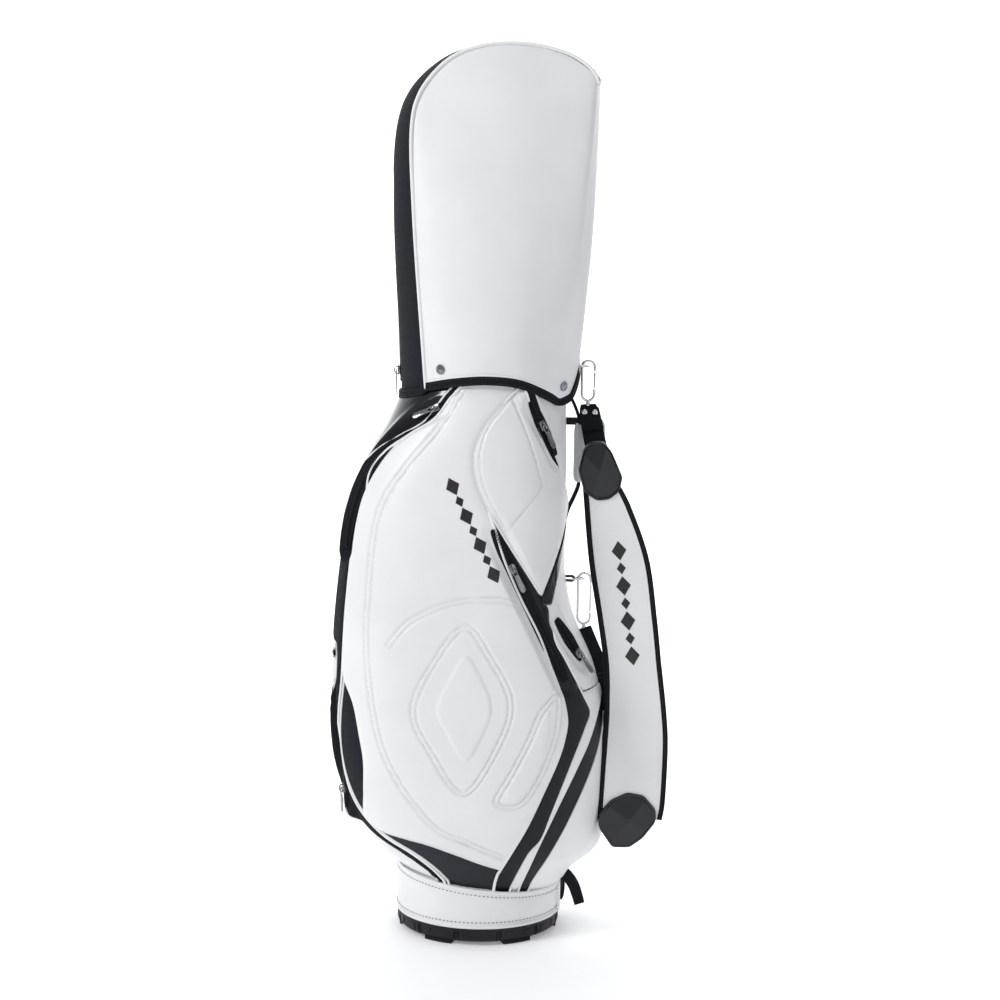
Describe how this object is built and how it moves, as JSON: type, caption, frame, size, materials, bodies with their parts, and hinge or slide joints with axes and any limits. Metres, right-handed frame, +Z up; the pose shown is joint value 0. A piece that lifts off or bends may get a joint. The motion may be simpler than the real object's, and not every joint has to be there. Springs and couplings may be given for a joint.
{
  "type": "golf staff bag",
  "caption": "Round club-holding bag with divided mouth, bulged zipped side pockets, lift-off rain hood, grab handle and padded shoulder strap on snap hooks.",
  "frame": {"origin": "centre of the underside of the moulded base, on the floor", "axes": "+Z up along the tube; +X towards the spine with handle and shoulder strap; -X towards the front ball pocket; -Y is the near long side pocket"},
  "size_m": [0.4893, 0.3348, 1.275],
  "materials": {
    "white_leather": "fine-grained white synthetic leather, satin",
    "black_leather": "black synthetic leather, satin",
    "black_webbing": "woven black webbing and binding tape",
    "black_mesh": "black mesh over lining",
    "lining": "brushed divider lining",
    "moulded_black": "moulded black plastic",
    "tube_liner": "extruded liner",
    "rubber": "matt rubber",
    "chrome": "polished",
    "gunmetal": "polished dark nickel",
    "rods": "satin"
  },
  "bodies": {
    "bag": {"base_cup": "moulded_black", "base_feet": "rubber", "base_cuff": "white_leather", "inner_tube": "tube_liner", "tube_cover": "white_leather", "stiffener_rods": "rods", "top_ring": "moulded_black", "top_cuff": "white_leather", "snap_studs": "gunmetal", "divider_bars": "black_leather", "divider_panels": "lining", "near_side_pocket": "white_leather", "far_side_pocket": "white_leather", "near_valuables_pocket": "white_leather", "far_upper_panel": "white_leather", "ball_pocket": "white_leather", "front_accessory_pocket": "white_leather", "spine_pocket": "white_leather", "handle_straps": "black_webbing", "handle_grip": "white_leather", "handle_rivets": "chrome", "strap_anchors": "black_webbing", "strap_rings": "chrome", "towel_tab": "black_leather", "umbrella_strap": "black_webbing", "near_rear_zip": "black_webbing", "near_valuables_zip": "black_webbing", "spine_zip": "black_webbing", "ball_zip": "black_webbing", "near_front_zip": "black_webbing", "far_front_zip": "black_webbing"},
    "hood": {"hood_panel": "white_leather", "hood_gusset": "black_mesh", "hood_binding": "black_webbing", "hood_snaps": "chrome", "hood_zip": "black_webbing"},
    "strap": {"strap_webbing": "black_webbing", "strap_upper_end": "moulded_black", "strap_pad": "white_leather", "strap_lower_end": "moulded_black", "strap_return": "black_webbing", "upper_hook": "chrome", "lower_hook": "chrome"},
    "upper_gate": {"upper_gate": "chrome"},
    "lower_gate": {"lower_gate": "chrome"},
    "towel_ring": {"towel_ring": "chrome"},
    "near_rear_slider": {"near_rear_slider": "gunmetal"},
    "near_rear_pull": {"near_rear_pull": "gunmetal"},
    "near_valuables_slider": {"near_valuables_slider": "gunmetal"},
    "near_valuables_pull": {"near_valuables_pull": "gunmetal"},
    "spine_slider": {"spine_slider": "gunmetal"},
    "spine_pull": {"spine_pull": "gunmetal"},
    "ball_slider": {"ball_slider": "gunmetal"},
    "ball_pull": {"ball_pull": "gunmetal"},
    "hood_slider": {"hood_slider": "gunmetal"},
    "hood_pull": {"hood_pull": "gunmetal"},
    "near_front_slider": {"near_front_slider": "gunmetal"},
    "near_front_pull": {"near_front_pull": "gunmetal"},
    "far_front_slider": {"far_front_slider": "gunmetal"},
    "far_front_pull": {"far_front_pull": "gunmetal"}
  },
  "joints": [
    {"name": "hood_lift", "type": "slide", "parent": "bag", "child": "hood", "axis": [0, 0, 1], "range_m": [0, 0.55]},
    {"name": "strap_swing", "type": "hinge", "parent": "bag", "child": "strap", "pos_m": [0.138, -0.018, 0], "axis": [0, 0, 1], "range_deg": [0, 50]},
    {"name": "upper_gate_open", "type": "hinge", "parent": "strap", "child": "upper_gate", "pos_m": [0.1565, -0.018, 0.7945], "axis": [0, -1, 0], "range_deg": [0, 25], "stiffness_Nm_per_rad": 0.02, "springref_deg": -17.19},
    {"name": "lower_gate_open", "type": "hinge", "parent": "strap", "child": "lower_gate", "pos_m": [0.1565, -0.018, 0.4705], "axis": [0, -1, 0], "range_deg": [0, 18], "stiffness_Nm_per_rad": 0.02, "springref_deg": -17.19},
    {"name": "towel_ring_swing", "type": "hinge", "parent": "bag", "child": "towel_ring", "pos_m": [0.16, 0.034, 0.7419], "axis": [0, 1, 0], "range_deg": [-20, 20]},
    {"name": "near_rear_zip_run", "type": "slide", "parent": "bag", "child": "near_rear_slider", "axis": [0.4344, 0.0599, -0.8987], "range_m": [-0.04, 0.16]},
    {"name": "near_rear_pull_flip", "type": "hinge", "parent": "near_rear_slider", "child": "near_rear_pull", "pos_m": [0.04251, -0.15662, 0.55029], "axis": [-0.8729, -0.2182, -0.4364], "range_deg": [0, 120]},
    {"name": "near_valuables_zip_run", "type": "slide", "parent": "bag", "child": "near_valuables_slider", "axis": [0.4087, 0.2043, -0.8895], "range_m": [-0.03, 0.03]},
    {"name": "near_valuables_pull_flip", "type": "hinge", "parent": "near_valuables_slider", "child": "near_valuables_pull", "pos_m": [0.0839, -0.10604, 0.74552], "axis": [-0.7096, -0.5418, -0.4505], "range_deg": [0, 120]},
    {"name": "spine_zip_run", "type": "slide", "parent": "bag", "child": "spine_slider", "axis": [-0.5005, -0.2806, 0.819], "range_m": [0, 0.045]},
    {"name": "spine_pull_flip", "type": "hinge", "parent": "spine_slider", "child": "spine_pull", "pos_m": [0.14031, -0.10769, 0.42486], "axis": [-0.5889, -0.5831, -0.5596], "range_deg": [0, 120]},
    {"name": "ball_zip_run", "type": "slide", "parent": "bag", "child": "ball_slider", "axis": [-0.0476, 0, 0.9989], "range_m": [0, 0.185]},
    {"name": "ball_pull_flip", "type": "hinge", "parent": "ball_slider", "child": "ball_pull", "pos_m": [-0.19969, -0.06479, 0.21471], "axis": [-0.4103, 0.9117, -0.0195], "range_deg": [0, 120]},
    {"name": "hood_zip_run", "type": "slide", "parent": "hood", "child": "hood_slider", "axis": [-0.0384, 0, 0.9993], "range_m": [0, 0.245]},
    {"name": "hood_pull_flip", "type": "hinge", "parent": "hood_slider", "child": "hood_pull", "pos_m": [-0.12829, 0, 0.81474], "axis": [0, 1, 0], "range_deg": [0, 120]},
    {"name": "near_front_zip_run", "type": "hinge", "parent": "bag", "child": "near_front_slider", "pos_m": [-0.0103, -0.17273, 0.5762], "axis": [-0.4965, -0.8549, 0.1503], "range_deg": [0, 64]},
    {"name": "near_front_pull_flip", "type": "hinge", "parent": "near_front_slider", "child": "near_front_pull", "pos_m": [-0.07138, -0.11131, 0.76902], "axis": [-0.2731, 0.3182, 0.9078], "range_deg": [0, 120]},
    {"name": "far_front_zip_run", "type": "hinge", "parent": "bag", "child": "far_front_slider", "pos_m": [-0.0103, 0.17273, 0.5762], "axis": [0.4965, -0.8549, -0.1503], "range_deg": [0, 64]},
    {"name": "far_front_pull_flip", "type": "hinge", "parent": "far_front_slider", "child": "far_front_pull", "pos_m": [-0.07138, 0.11131, 0.76902], "axis": [0.2731, 0.3182, -0.9078], "range_deg": [0, 120]}
  ]
}
